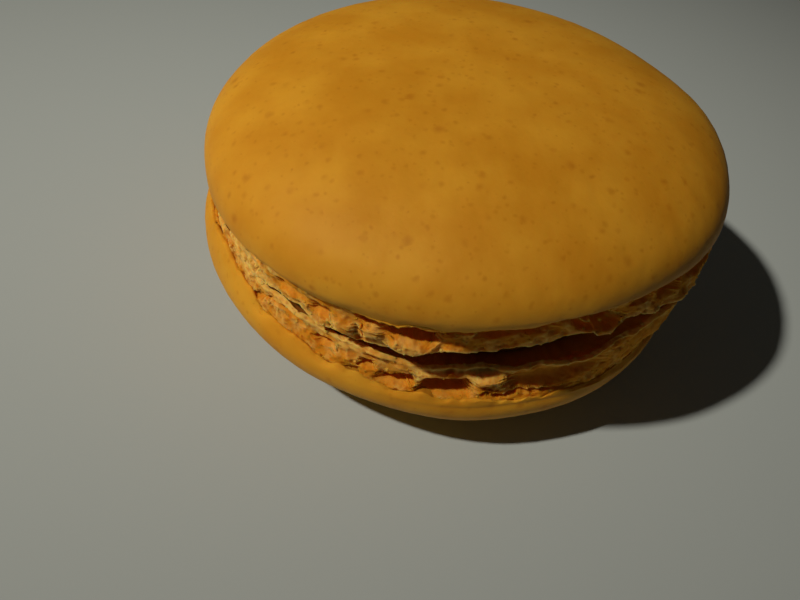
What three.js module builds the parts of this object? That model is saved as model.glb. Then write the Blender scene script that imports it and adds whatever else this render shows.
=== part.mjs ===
// A French macaron: two almond-meringue shells with a thin layer of ganache between them.
// Each shell is a smooth low dome that overhangs a crumbly ruffled foot. The lower shell lies
// level on a small flat spot, foot up. The upper shell sits on it foot down and leans, so that
// the seam gapes on one side and the two feet meet on the other.
//
// Millimetres, +Z up. The origin is on the table, under the middle of the bounding box.
// An azimuth is an angle round the upright axis, in degrees from +X towards +Y.

import * as THREE from "three";

// ---- Driving dimensions ----

const SEGMENTS = 132; // facets round each ring
const CLEARANCE = 0.3; // space between neighbouring pieces

const UPPER = {
  radius: 23,
  domeHeight: 7.8,
  domePower: 2.5, // how square the dome's shoulder is: 2 would be an ellipse
  edgeRadius: 22.6, // lower edge of the smooth crust
  edgeDrop: 0.95,
  lipRadius: 22.0, // thin ruffled rim of the foot
  innerDrop: 3.4, // underside of the shell at its middle
  groove: 0.25, // how far the foot stands back between its hollows
  corners: { size: 0.35, at: 0 }, // a piped round is never quite round: three faint corners
  // Each of these is a list of humps, as [by, at, wide], with at and wide in degrees.
  arches: [[0.6, -52, 11], [-0.5, -91, 9], [-2.2, -156, 8.5]], // the crust's edge rises or dips
  flares: [[1.2, -10, 15], [-0.9, -70, 9], [-0.4, -56, 8], [0.35, -113, 7]], // the foot spreads or is set in
  tucks: [], // the whole rim is drawn in
};

const LOWER = {
  radius: 22.9,
  domeHeight: 6.87,
  domePower: 2.5,
  edgeRadius: 22.4,
  edgeDrop: 0.93,
  lipRadius: 22.1,
  innerDrop: 4.3,
  groove: 0.1,
  corners: { size: 0.15, at: 20 },
  arches: [[-1.9, -142, 10], [-0.3, -115, 12], [0.58, -58, 21]],
  flares: [[1.0, -18, 15], [-0.9, -75, 9]],
  tucks: [[0.9, -63, 17]],
};

const SEAT_DEPTH = 0.35; // how much the lower dome is flattened where it lies
const LEAN = 7.06; // tilt of the upper shell, in degrees
const LEAN_TOWARDS = 5; // azimuth of its raised side
const UPPER_CENTRE = new THREE.Vector3(-0.26, -0.47, 16.91);
const LOWER_HEIGHT = LOWER.domeHeight - SEAT_DEPTH; // from the table up to the lower shell's widest ring

const SEAM_HEIGHT = 11.0; // lip of the lower foot above the table
const FILLING_RADIUS = 19.6;
const FILLING_BULGE = 0.5;

const EDGE_STEP = 0.1; // the foot starts this far inside the crust's edge
const EDGE_FADE = 0.12; // share of the way down the foot over which its relief sets in
const FACE_RINGS = [0.05, 0.18, 0.32, 0.46, 0.6, 0.74, 0.88]; // shares of the way down the foot
const GRIT = 0.16; // roughness of the foot, drawn from each shell's seed plus GRIT_SEED
const GRIT_SEED = 100;
const TUCK_POWER = 8; // how fast the rim's tuck fades up the dome
const FOOT_TUCK = 0.5; // share of the tuck that the crust's edge and the foot follow
const LIP_THICKNESS = 0.55;
const LIP_SHELF = 1.6; // width of the lip's inner slope
const RECESS = 0.8; // the shell's inside face stands this far back from its lip

// Hollows torn or baked into each foot, as [azimuth, half width, height above the table, half
// height, depth, climb]: widths are in degrees and the climb is the rise of its line per degree.
const UPPER_HOLLOWS = [
  [-131, 2.6, 12.3, 0.3, 0.6, 0.03],
  [-118.5, 5, 12.6, 0.55, 0.6, 0.06],
  [-110.6, 2.5, 12.7, 0.65, 1.0, 0.06],
  [-100, 2.1, 14.3, 0.35, 1.3, 0],
  [-91.8, 4.7, 14.0, 0.55, 1.9, 0],
  [-82, 2.4, 14.9, 0.35, 0.6, 0.12],
  [-75.6, 2.8, 15.15, 0.65, 1.6, 0],
  [-67.5, 4.3, 15.3, 0.5, 1.0, 0.03],
  [-53.5, 7.4, 15.9, 1.0, 1.9, -0.19],
  [-42, 2.2, 17.1, 0.5, 0.5, 0],
  [-34, 3.4, 17.1, 1.0, 1.5, -0.06],
  [-21, 6, 16.9, 0.9, 1.3, 0],
];
const LOWER_HOLLOWS = [
  [-150, 3.0, 9.7, 0.9, 2.6, 0],
  [-135.5, 3, 8.7, 0.4, 0.3, -0.1],
  [-127, 3.2, 8.7, 0.26, 0.75, 0.2],
  [-119, 5, 9.45, 0.2, 0.5, 0],
  [-108.5, 2.1, 9.0, 0.34, 0.9, 0],
  [-98.5, 1.4, 8.75, 0.38, 0.9, 0],
  [-92, 3.4, 7.95, 0.5, 1.2, 0.12],
  [-81.5, 4.7, 7.75, 0.72, 2.0, 0],
  [-55.5, 11.5, 9.05, 0.95, 1.0, 0.06],
];
// Crumbs that stand proud of the foot: [azimuth, half width, height, half height, how far].
const UPPER_CRUMBS = [
  [-105.4, 2.3, 12.5, 0.8, 0.6],
  [-99.6, 2.2, 13.0, 0.75, 0.55],
  [-91.2, 4.6, 12.7, 0.9, 0.8],
];
const LOWER_CRUMBS = [
  [-103.5, 2.5, 8.5, 0.5, 0.25],
  [-87.2, 1.3, 8.2, 0.6, 0.4],
  [-83, 6.5, 9.3, 0.6, 0.6],
  [-72.2, 3.8, 9.1, 0.85, 1.0],
  [-71.0, 4.2, 7.9, 0.55, 0.45],
];
// Away from those, the hollows follow one another round the foot by a seeded rule.
const REST_OF_FOOT = { from: -8, to: 200, spacing: 13, deepest: 1.7 };

// ---- Small helpers ----

const radians = THREE.MathUtils.degToRad;
const mix = THREE.MathUtils.lerp;

function seededRandom(seed) {
  let state = seed;
  return () => {
    state = (state + 0x6d2b79f5) | 0;
    let t = Math.imul(state ^ (state >>> 15), 1 | state);
    t = (t + Math.imul(t ^ (t >>> 7), 61 | t)) ^ t;
    return ((t ^ (t >>> 14)) >>> 0) / 4294967296;
  };
}

// Signed distance from one azimuth to another, between -180 and 180.
const turnBetween = (azimuth, at) => ((((azimuth - at) % 360) + 540) % 360) - 180;

// 1 at an azimuth, falling smoothly to 0 on both sides of it.
const swell = (azimuth, at, wide) => Math.exp(-0.5 * (turnBetween(azimuth, at) / wide) ** 2);

// The sum of a list of humps at an azimuth.
const humps = (list, azimuth) => list.reduce((sum, [by, at, wide]) => sum + by * swell(azimuth, at, wide), 0);

// The same with a flat middle and steep sides, for a distance and for an azimuth.
const plateau = (distance, half) => Math.exp(-((distance / half) ** 4));
const patch = (azimuth, at, half) => plateau(turnBetween(azimuth, at), half);

// An uneven wave round the ring: a few sines with seeded phases.
function ruffle(seed, waves) {
  const random = seededRandom(seed);
  const phases = waves.map(() => random() * 2 * Math.PI);
  return (azimuth) =>
    waves.reduce((sum, [count, size], i) => sum + size * Math.sin(count * radians(azimuth) + phases[i]), 0);
}

// ---- The seam between the shells, as heights above the table ----

const lowerRuffle = ruffle(3, [[5, 0.08], [11, 0.09], [19, 0.08], [29, 0.06]]);
const upperRuffle = ruffle(8, [[4, 0.06], [9, 0.08], [17, 0.08], [31, 0.07]]);

const LOWER_LIP = [
  [-0.75, -121, 12],
  [0.3, -115, 2.5],
  [-0.75, -91, 9],
  [-0.85, -73, 9],
  [2.6, -31, 8],
  [0.9, -12, 9],
];

function lowerLipHeight(azimuth) {
  return SEAM_HEIGHT + humps(LOWER_LIP, azimuth) + lowerRuffle(azimuth);
}

// The seam is nearly shut round most of the macaron and gapes at the front right, where a
// torn tongue of the upper foot hangs into it.
const STEPS = [
  [0.25, -98, 6],
  [0.9, -84.5, 3],
  [0.95, -76, 8],
  [-0.6, -62, 3.5],
  [0.3, -56.5, 2.5],
  [0.45, 50, 35],
];

function gape(azimuth) {
  const widest = 3.3 * swell(azimuth, -47, turnBetween(azimuth, -47) < 0 ? 22 : 6.5);
  const tongue = 1.35 * patch(azimuth, -49, 3.6);
  return widest + humps(STEPS, azimuth) - tongue;
}

function upperLipHeight(azimuth) {
  return lowerLipHeight(azimuth) + CLEARANCE + 0.1 + gape(azimuth) + 0.3 * Math.abs(upperRuffle(azimuth));
}

// ---- Placing the shells ----

const leanAxis = new THREE.Vector3(Math.sin(radians(LEAN_TOWARDS)), -Math.cos(radians(LEAN_TOWARDS)), 0);
const lean = new THREE.Quaternion().setFromAxisAngle(leanAxis, radians(LEAN));
const upInUpperShell = new THREE.Vector3(0, 0, 1).applyQuaternion(lean.clone().invert());

// Height above the table of the upper shell's widest plane at a radius and azimuth.
function upperLevel(radius, azimuth) {
  const x = radius * Math.cos(radians(azimuth));
  const y = radius * Math.sin(radians(azimuth));
  return UPPER_CENTRE.z + upInUpperShell.x * x + upInUpperShell.y * y;
}

// A drop is how far a point lies below its shell's widest ring, dome up. The placement of the
// shell turns it into a height above the table, and back.
const heightOf = (shell, radius, azimuth, drop) => shell.level(radius, azimuth) - shell.upright * drop;
const dropOf = (shell, radius, azimuth, height) => (shell.level(radius, azimuth) - height) / shell.upright;

// ---- One shell, in its own frame: dome up, widest ring at z = 0, foot below ----

const outline = (size, azimuth) =>
  1 + (size.corners.size / size.radius) * Math.cos(3 * radians(azimuth - size.corners.at));

const tuck = (size, azimuth) => humps(size.tucks, azimuth);

// The dome from near its top (turn 0) to its widest ring (turn 90).
function domePoint(size, turn, azimuth) {
  const across = Math.sin(radians(turn)) ** (2 / size.domePower);
  const round = size.radius * across * mix(1, outline(size, azimuth), across);
  const drawnIn = tuck(size, azimuth) * (turn / 90) ** TUCK_POWER;
  return [round - drawnIn, size.domeHeight * Math.cos(radians(turn))];
}

// A ring of the crust below the widest one, which follows a share of the tuck.
function crustPoint(size, radius, drop, azimuth, share = FOOT_TUCK) {
  return [radius * outline(size, azimuth) - share * tuck(size, azimuth), -drop];
}

const edgeDrop = (size, azimuth) => size.edgeDrop - humps(size.arches, azimuth);

// How far the foot stands out past its straight face, from the crust's edge (down 0) to the lip.
const footSpread = (size, azimuth, down) => humps(size.flares, azimuth) * Math.min(1, 2 * down);

const lipDrop = (shell, azimuth) => dropOf(shell, shell.size.lipRadius, azimuth, shell.lipHeight(azimuth));

// Hollows for the stretch of foot that has no named ones, some high and some low on it.
function furtherHollows(shell) {
  const random = seededRandom(shell.seed);
  const hollows = [];
  let azimuth = REST_OF_FOOT.from + random() * REST_OF_FOOT.spacing;
  while (azimuth < REST_OF_FOOT.to) {
    const edge = heightOf(shell, shell.size.lipRadius, azimuth, edgeDrop(shell.size, azimuth));
    const lip = shell.lipHeight(azimuth);
    const half = 2.5 + 4 * random();
    const depth = REST_OF_FOOT.deepest * (0.25 + 0.75 * random());
    const middle = mix(edge, lip, 0.2 + 0.3 * random());
    const tall = Math.abs(edge - lip) * (0.12 + 0.2 * random());
    hollows.push([azimuth, half, middle, tall, depth, 0.2 * (random() - 0.5)]);
    azimuth += REST_OF_FOOT.spacing * (0.6 + 0.8 * random());
  }
  return hollows;
}

// Depth of the hollows less the height of the crumbs, down the foot's face from the crust's
// edge (down 0) to the lip (down 1).
function footRelief(shell, azimuth, drop, down) {
  const height = heightOf(shell, shell.size.lipRadius, azimuth, drop);
  let depth = shell.size.groove * Math.sin(Math.PI * down ** 0.6);
  for (const [at, half, middle, tall, deep, climb] of shell.hollows) {
    const line = middle + climb * turnBetween(azimuth, at);
    depth += deep * patch(azimuth, at, half) * plateau(height - line, tall);
  }
  for (const [at, half, middle, tall, proud] of shell.crumbs) {
    depth -= proud * patch(azimuth, at, half) * plateau(height - middle, tall);
  }
  return depth * Math.min(1, down / EDGE_FADE);
}

// The inside face of a shell: level at the middle, and following the lip near the edge.
function innerDrop(shell, radius, azimuth) {
  const out = (radius / (shell.size.lipRadius - LIP_SHELF)) ** 2;
  return mix(shell.size.innerDrop, lipDrop(shell, azimuth) - RECESS, out);
}

// Every ring of a shell's profile, each as a function from azimuth to [radius, height].
function shellRings(shell) {
  const { size } = shell;
  const random = seededRandom(shell.seed + GRIT_SEED);
  const rings = shell.domeTurns.map((turn) => (azimuth) => domePoint(size, turn, azimuth));
  const turnIn = 0.997 * size.radius; // just below the widest ring
  rings.push((azimuth) => crustPoint(size, turnIn, 0.45 * edgeDrop(size, azimuth), azimuth, 0.9));
  rings.push((azimuth) => crustPoint(size, size.edgeRadius, edgeDrop(size, azimuth), azimuth));
  for (const down of FACE_RINGS) {
    rings.push((azimuth) => {
      const [edge] = crustPoint(size, size.edgeRadius - EDGE_STEP, 0, azimuth);
      const spread = footSpread(size, azimuth, down);
      const drop = mix(edgeDrop(size, azimuth), lipDrop(shell, azimuth) - LIP_THICKNESS, down);
      const relief = footRelief(shell, azimuth, drop, down) + GRIT * (random() - 0.5);
      const lipRadius = size.lipRadius - FOOT_TUCK * tuck(size, azimuth);
      return [mix(edge, lipRadius, down) + spread - relief, -drop];
    });
  }
  const lip = (azimuth) =>
    size.lipRadius - FOOT_TUCK * tuck(size, azimuth) + footSpread(size, azimuth, 1) + shell.lipWave(azimuth);
  rings.push((azimuth) => [lip(azimuth), -lipDrop(shell, azimuth) + LIP_THICKNESS]);
  rings.push((azimuth) => [lip(azimuth) - 0.15, -lipDrop(shell, azimuth)]);
  for (const radius of [size.lipRadius - LIP_SHELF, 0.55 * size.lipRadius]) {
    rings.push((azimuth) => [radius, -innerDrop(shell, radius, azimuth)]);
  }
  return rings;
}

// ---- Rings to a closed mesh ----

const azimuths = Array.from({ length: SEGMENTS }, (_, i) => (360 * i) / SEGMENTS);

function ringPoints(ring, turnedOver) {
  return azimuths.map((angle) => {
    const [radius, height] = ring(turnedOver ? -angle : angle);
    return new THREE.Vector3(radius * Math.cos(radians(angle)), radius * Math.sin(radians(angle)), height);
  });
}

// Joins rings of points, listed from the top middle outwards and round to the bottom middle.
function closeRings(topHeight, rings, bottomHeight) {
  const points = [new THREE.Vector3(0, 0, topHeight), ...rings.flat(), new THREE.Vector3(0, 0, bottomHeight)];
  const last = points.length - 1;
  const at = (ring, i) => 1 + ring * SEGMENTS + (i % SEGMENTS);
  const faces = [];
  for (let i = 0; i < SEGMENTS; i++) {
    faces.push(0, at(0, i), at(0, i + 1));
    for (let ring = 0; ring < rings.length - 1; ring++) {
      faces.push(at(ring, i), at(ring + 1, i), at(ring + 1, i + 1));
      faces.push(at(ring, i), at(ring + 1, i + 1), at(ring, i + 1));
    }
    faces.push(last, at(rings.length - 1, i + 1), at(rings.length - 1, i));
  }
  const geometry = new THREE.BufferGeometry().setFromPoints(points);
  geometry.setIndex(faces);
  geometry.computeVertexNormals();
  return geometry;
}

function shellGeometry(shell) {
  const rings = shellRings(shell).map((ring) => ringPoints(ring, shell.turnedOver));
  return closeRings(shell.domeTop, rings, -shell.size.innerDrop);
}

// ---- The pieces ----

const upperShell = {
  size: UPPER,
  seed: 5,
  turnedOver: false,
  level: upperLevel,
  upright: upInUpperShell.z,
  domeTop: UPPER.domeHeight,
  domeTurns: [13, 26, 39, 51, 62, 72, 81, 90],
  hollows: UPPER_HOLLOWS,
  crumbs: UPPER_CRUMBS,
  lipWave: ruffle(13, [[6, 0.1], [14, 0.12], [25, 0.1], [38, 0.08]]),
  lipHeight: upperLipHeight,
};

// The seat cuts the lower dome at its own height, so the dome's first ring is the seat's edge.
const seatTurn = THREE.MathUtils.radToDeg(Math.acos(LOWER_HEIGHT / LOWER.domeHeight));

const lowerShell = {
  size: LOWER,
  seed: 9,
  turnedOver: true,
  level: () => LOWER_HEIGHT,
  upright: -1,
  domeTop: LOWER_HEIGHT,
  domeTurns: [seatTurn, 31, 43, 54, 64, 73, 82, 90],
  hollows: LOWER_HOLLOWS,
  crumbs: LOWER_CRUMBS,
  lipWave: ruffle(17, [[5, 0.08], [12, 0.12], [23, 0.1], [37, 0.08]]),
  lipHeight: lowerLipHeight,
};

for (const shell of [upperShell, lowerShell]) shell.hollows = [...shell.hollows, ...furtherHollows(shell)];

// The ganache fills the space between the two inside faces, a clearance from each, and stops
// short of the lips.
function fillingGeometry() {
  const edge = ruffle(29, [[3, 0.25], [7, 0.2], [12, 0.15]]);
  const under = (radius, azimuth) => {
    const point = new THREE.Vector3(
      radius * Math.cos(radians(azimuth)),
      radius * Math.sin(radians(azimuth)),
      -innerDrop(upperShell, radius, azimuth),
    );
    return point.applyQuaternion(lean).add(UPPER_CENTRE).z - CLEARANCE;
  };
  const over = (radius, azimuth) => LOWER_HEIGHT + innerDrop(lowerShell, radius, azimuth) + CLEARANCE;
  const rim = (azimuth) => FILLING_RADIUS + edge(azimuth);
  const half = 0.55 * LOWER.lipRadius;
  const rings = [
    (azimuth) => [half, under(half, azimuth)],
    (azimuth) => [rim(azimuth) - FILLING_BULGE, under(rim(azimuth), azimuth)],
    (azimuth) => [rim(azimuth), mix(over(rim(azimuth), azimuth), under(rim(azimuth), azimuth), 0.5)],
    (azimuth) => [rim(azimuth) - FILLING_BULGE, over(rim(azimuth), azimuth)],
    (azimuth) => [half, over(half, azimuth)],
  ];
  return closeRings(under(0, 0), rings.map((ring) => ringPoints(ring, false)), over(0, 0));
}

const crust = new THREE.MeshStandardMaterial({ color: "#c98a2c", roughness: 0.55, metalness: 0 });
const ganache = new THREE.MeshStandardMaterial({ color: "#5a3116", roughness: 0.45, metalness: 0 });

function namedMesh(name, geometry, material) {
  const mesh = new THREE.Mesh(geometry, material);
  mesh.name = name;
  return mesh;
}

const shellTop = namedMesh("shell_top", shellGeometry(upperShell), crust);
shellTop.position.copy(UPPER_CENTRE);
shellTop.quaternion.copy(lean);

const shellBottom = namedMesh("shell_bottom", shellGeometry(lowerShell), crust);
shellBottom.position.z = LOWER_HEIGHT;
shellBottom.rotation.x = Math.PI;

const filling = namedMesh("filling", fillingGeometry(), ganache);

const pieces = new THREE.Group().add(shellBottom, filling, shellTop);
const box = new THREE.Box3().setFromObject(pieces, true);
const middle = box.getCenter(new THREE.Vector3());
pieces.position.set(-middle.x, -middle.y, -box.min.z);

const macaron = new THREE.Group().add(pieces);

export default macaron;
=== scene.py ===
# %% [markdown]
# # A French macaron
#
# Two baked almond-meringue shells close on a thin layer of ganache. Each shell is a smooth
# low dome with a crumbly, ruffled foot under its edge. The lower shell lies level, foot up.
# The upper one leans, so the seam gapes at the front right and the feet meet on the left.
#
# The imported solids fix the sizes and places. This lesson builds the fine surfaces round
# them: the crusts, the feet, the filling and the loose crumbs, each as its own mesh.

import math
from types import SimpleNamespace as Sizes

import bpy
import numpy as np
from mathutils import Matrix, Vector


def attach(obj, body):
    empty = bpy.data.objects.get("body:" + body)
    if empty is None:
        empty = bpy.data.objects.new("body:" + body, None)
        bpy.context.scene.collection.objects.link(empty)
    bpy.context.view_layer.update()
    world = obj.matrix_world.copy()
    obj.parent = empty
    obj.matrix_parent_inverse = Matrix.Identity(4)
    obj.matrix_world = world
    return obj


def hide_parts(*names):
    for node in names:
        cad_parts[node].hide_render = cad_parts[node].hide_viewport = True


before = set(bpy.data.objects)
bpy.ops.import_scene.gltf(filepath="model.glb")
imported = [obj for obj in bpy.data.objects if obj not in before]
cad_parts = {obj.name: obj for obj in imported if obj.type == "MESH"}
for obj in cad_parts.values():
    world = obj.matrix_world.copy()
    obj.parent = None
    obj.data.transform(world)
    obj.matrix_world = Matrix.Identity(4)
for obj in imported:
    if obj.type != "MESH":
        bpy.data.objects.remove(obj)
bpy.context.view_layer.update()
MM = 0.001  # one millimetre in scene units

# %% [markdown]
# ## Where the macaron stands
#
# All shapes below are worked out in millimetres round the lower shell's upright axis. The
# frame's origin is under the middle of the bounding box instead, which is a little beside
# that axis. The lower dome is flattened where it lies, and the middle of that flat spot is
# on the axis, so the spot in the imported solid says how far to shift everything.


# %% Find the lower shell's axis
def flat_spot_centre(node):
    """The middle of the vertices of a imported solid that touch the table."""
    points = np.array([v.co for v in node.data.vertices])
    return points[points[:, 2] < 0.01 * MM].mean(axis=0)


AXIS = flat_spot_centre(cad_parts["shell_bottom"]) * (1, 1, 0)
print("axis of the lower shell in mm:", (AXIS / MM).round(3))

# %% [markdown]
# ## The camera
#
# A hand-held camera close above the biscuit: it looks down at about 45 degrees and is
# turned a little about its own axis, so the seam climbs towards the right.

# %% Camera
CAMERA_PLACE = (-2.01, -63.70, 57.66)  # mm from the axis
CAMERA_PITCH = math.radians(44.49)
CAMERA_ROLL = math.radians(15.16)
CAMERA_LENS = 36.9  # mm
CAMERA_SENSOR = 36  # mm wide


def camera_matrix(place, pitch, roll):
    """Looks along +Y, tipped down by pitch and rolled about the line of sight."""
    look = Vector((0, math.cos(pitch), -math.sin(pitch)))
    level = Vector((1, 0, 0))
    up = level.cross(look)
    right = level * math.cos(roll) + up * math.sin(roll)
    over = up * math.cos(roll) - level * math.sin(roll)
    turn = Matrix((right, over, -look)).transposed().to_4x4()
    return Matrix.Translation(Vector(AXIS) + Vector(place) * MM) @ turn


camera_data = bpy.data.cameras.new("camera")
camera_data.lens = CAMERA_LENS
camera_data.sensor_width = CAMERA_SENSOR
camera_data.clip_start = MM
camera = bpy.data.objects.new("camera", camera_data)
camera.matrix_world = camera_matrix(CAMERA_PLACE, CAMERA_PITCH, CAMERA_ROLL)
bpy.context.scene.collection.objects.link(camera)
bpy.context.scene.camera = camera
print("camera in mm:", [round(c / MM, 1) for c in camera.matrix_world.translation])

# %% [markdown]
# ## Sizes of the shells
#
# A piped and baked shell is a turned form with accidents, so every point of it comes from
# two numbers: the azimuth round the axis, and how far along the profile it lies. These are
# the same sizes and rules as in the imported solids. An azimuth is an angle in degrees from
# +X towards +Y, and every height is above the table. Arches, flares and tucks are lists of
# soft humps, each with its size, its azimuth and its width. An arch lifts the crust's edge or,
# below zero, dips it. A flare spreads the foot or sets it in. A tuck draws the rim inwards.
# The lathe further down takes three arches and one tuck for each shell.

# %% Sizes of the shells, in millimetres and degrees
UPPER = Sizes(
    radius=23, dome_height=7.8, dome_power=2.5, edge_radius=22.6, edge_drop=0.95,
    lip_radius=22.0, inner_drop=3.4, groove=0.25, corners=(0.35, 0),
    arches=((0.6, -52, 11), (-0.5, -91, 9), (-2.2, -156, 8.5)),
    flares=((1.2, -10, 15), (-0.9, -70, 9), (-0.4, -56, 8), (0.35, -113, 7)),
    tucks=((0, 0, 1),),  # of no size: this rim isn't drawn in
)
LOWER = Sizes(
    radius=22.9, dome_height=6.87, dome_power=2.5, edge_radius=22.4, edge_drop=0.93,
    lip_radius=22.1, inner_drop=4.3, groove=0.1, corners=(0.15, 20),
    arches=((-1.9, -142, 10), (-0.3, -115, 12), (0.58, -58, 21)),
    flares=((1.0, -18, 15), (-0.9, -75, 9)),
    tucks=((0.9, -63, 17),),
)
TUCK_POWER = 8  # how fast the tuck fades up the dome
FOOT_TUCK = 0.5  # share of the tuck that the crust's edge and the foot follow
SEAT_DEPTH = 0.35  # how deep the lower dome is flattened where it lies
LEAN = math.radians(7.06)
LEAN_TOWARDS = math.radians(5)
UPPER_CENTRE = np.array([-0.26, -0.47, 16.91])
LOWER_HEIGHT = LOWER.dome_height - SEAT_DEPTH
SEAM_HEIGHT = 11.0
CLEARANCE = 0.3  # between one piece and the next
SKIN = 0.3  # thickness of the crust
EDGE_STEP = 0.1  # from the crust's edge in to the foot's face
EDGE_FADE = 0.12  # share of the foot, below the crust's edge, over which its relief sets in
LIP_THICKNESS = 0.55
LIP_SHELF = 1.6  # from the lip in to where the inside face begins
RECESS = 0.8  # how deep that face begins
FILLING_RADIUS = 19.6
FILLING_BULGE = 0.5

# %% [markdown]
# ## Hollows and crumbs of the feet
#
# Where the foot shows best, each hollow torn or baked into it has a place of its own, and
# so has each large crumb that stands proud. Round the rest of the foot they follow one
# another by a seeded rule.

# %% Named hollows and crumbs
# A hollow: azimuth, half width, height, half height, depth, and how much its line climbs per degree.
UPPER_HOLLOWS = [
    (-131, 2.6, 12.3, 0.3, 0.6, 0.03),
    (-118.5, 5, 12.6, 0.55, 0.6, 0.06),
    (-110.6, 2.5, 12.7, 0.65, 1.0, 0.06),
    (-100, 2.1, 14.3, 0.35, 1.3, 0),
    (-91.8, 4.7, 14.0, 0.55, 1.9, 0),
    (-82, 2.4, 14.9, 0.35, 0.6, 0.12),
    (-75.6, 2.8, 15.15, 0.65, 1.6, 0),
    (-67.5, 4.3, 15.3, 0.5, 1.0, 0.03),
    (-53.5, 7.4, 15.9, 1.0, 1.9, -0.19),
    (-42, 2.2, 17.1, 0.5, 0.5, 0),
    (-34, 3.4, 17.1, 1.0, 1.5, -0.06),
    (-21, 6, 16.9, 0.9, 1.3, 0),
]
LOWER_HOLLOWS = [
    (-150, 3.0, 9.7, 0.9, 2.6, 0),
    (-135.5, 3, 8.7, 0.4, 0.3, -0.1),
    (-127, 3.2, 8.7, 0.26, 0.75, 0.2),
    (-119, 5, 9.45, 0.2, 0.5, 0),
    (-112.6, 0.9, 7.95, 0.22, 0.5, 0),
    (-108.5, 2.1, 9.0, 0.34, 0.9, 0),
    (-101, 0.9, 7.7, 0.3, 0.6, 0.1),
    (-98.5, 1.4, 8.75, 0.38, 0.9, 0),
    (-98, 1.2, 9.7, 0.3, 0.35, 0),
    (-92, 3.4, 7.95, 0.5, 1.2, 0.12),
    (-81.5, 4.7, 7.75, 0.72, 2.0, 0),
    (-62.5, 10.5, 7.4, 0.13, 0.5, 0),
    (-55.5, 11.5, 9.05, 0.95, 1.0, 0.06),
]
# A crumb: azimuth, half width, height above the table, half height, and how far it stands proud.
UPPER_CRUMBS = [
    (-105.4, 2.3, 12.5, 0.8, 0.6),
    (-99.6, 2.2, 13.0, 0.75, 0.55),
    (-91.2, 4.6, 12.7, 0.9, 0.8),
]
LOWER_CRUMBS = [
    (-103.5, 2.5, 8.5, 0.5, 0.25),
    (-87.2, 1.3, 8.2, 0.6, 0.4),
    (-83, 6.5, 9.3, 0.6, 0.6),
    (-72.2, 3.8, 9.1, 0.85, 1.0),
    (-71.0, 4.2, 7.9, 0.55, 0.45),
]
REST_OF_FOOT = Sizes(start=-8, end=200, spacing=13, deepest=1.7)

# %% [markdown]
# ## Smooth bumps and seeded waves
#
# Three small tools shape everything that isn't perfectly round: `swell` is a soft hump at
# one azimuth, `patch` has a flat middle and steep sides, and `ruffle` is a wave with an
# irregular but repeatable rhythm.


# %% Bumps, waves and seeded numbers
def turn_between(azimuth, at):
    """Signed distance from one azimuth to another, between -180 and 180."""
    return (np.asarray(azimuth, float) - at + 180) % 360 - 180


def swell(azimuth, at, wide):
    return np.exp(-0.5 * (turn_between(azimuth, at) / wide) ** 2)


def plateau(distance, half):
    return np.exp(-((distance / half) ** 4))


def patch(azimuth, at, half):
    return plateau(turn_between(azimuth, at), half)


def humps(listed, azimuth):
    """The sum of soft humps listed as (by, at, wide)."""
    return sum(by * swell(azimuth, at, wide) for by, at, wide in listed)


def mix(start, end, share):
    return start + (end - start) * share


def seeded_random(seed):
    """The same small generator as the solids use, so that both draw the same numbers."""
    word = 0xFFFFFFFF
    state = seed
    while True:
        state = (state + 0x6D2B79F5) & word
        mixed = ((state ^ (state >> 15)) * (1 | state)) & word
        mixed = ((mixed + ((mixed ^ (mixed >> 7)) * (61 | mixed))) & word) ^ mixed
        yield (mixed ^ (mixed >> 14)) / (word + 1)


def ruffle(seed, waves):
    draw = seeded_random(seed)
    phases = [next(draw) * 2 * math.pi for _ in waves]

    def wave(azimuth):
        angle = np.radians(azimuth)
        parts = [size * np.sin(count * angle + phase) for (count, size), phase in zip(waves, phases)]
        return sum(parts)

    return wave


# %% [markdown]
# ## The seam
#
# The lower lip is nearly level. The upper one stays close above it round most of the
# macaron and lifts away at the front right, where a torn tongue of foot hangs into the gap.

# %% Heights of the two lips
lower_ruffle = ruffle(3, [(5, 0.08), (11, 0.09), (19, 0.08), (29, 0.06)])
upper_ruffle = ruffle(8, [(4, 0.06), (9, 0.08), (17, 0.08), (31, 0.07)])

LOWER_LIP = (
    (-0.75, -121, 12), (0.3, -115, 2.5), (-0.75, -91, 9), (-0.85, -73, 9), (2.6, -31, 8), (0.9, -12, 9),
)
STEPS = (  # further rises and dips of the upper lip
    (0.25, -98, 6), (0.9, -84.5, 3), (0.95, -76, 8), (-0.6, -62, 3.5), (0.3, -56.5, 2.5), (0.45, 50, 35),
)
GAPE_AT = -47
GAPE_HEIGHT = 3.3
GAPE_FADES = (22, 6.5)  # its width towards the left and the right
TONGUE = (1.35, -49, 3.6)  # length, azimuth and half width of the torn tongue
SEAM_SLACK = 0.1
UPPER_LIP_RAGGED = 0.3


def lower_lip_height(azimuth):
    return SEAM_HEIGHT + humps(LOWER_LIP, azimuth) + lower_ruffle(azimuth)


def gape(azimuth):
    side = np.where(turn_between(azimuth, GAPE_AT) < 0, *GAPE_FADES)
    widest = GAPE_HEIGHT * swell(azimuth, GAPE_AT, side)
    length, at, half = TONGUE
    return widest + humps(STEPS, azimuth) - length * patch(azimuth, at, half)


def upper_lip_height(azimuth):
    shut = lower_lip_height(azimuth) + CLEARANCE + SEAM_SLACK
    return shut + gape(azimuth) + UPPER_LIP_RAGGED * np.abs(upper_ruffle(azimuth))


print("gape in mm at azimuths -100, -60 and 180:", gape(np.array([-100, -60, 180])).round(2))

# %% [markdown]
# ## Placing each shell
#
# A shell is worked out dome up, with its widest ring at height 0. The upper one is then
# leaned about a level line, and the lower one is turned over. A turned-over shell sees the
# azimuths mirrored, so `facing` is -1 for it.


# %% Placement of the shells
def leaned():
    line = Vector((math.sin(LEAN_TOWARDS), -math.cos(LEAN_TOWARDS), 0))
    return np.array(Matrix.Rotation(LEAN, 3, line))


def turned_over():
    return np.diag([1.0, -1.0, -1.0])


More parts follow.
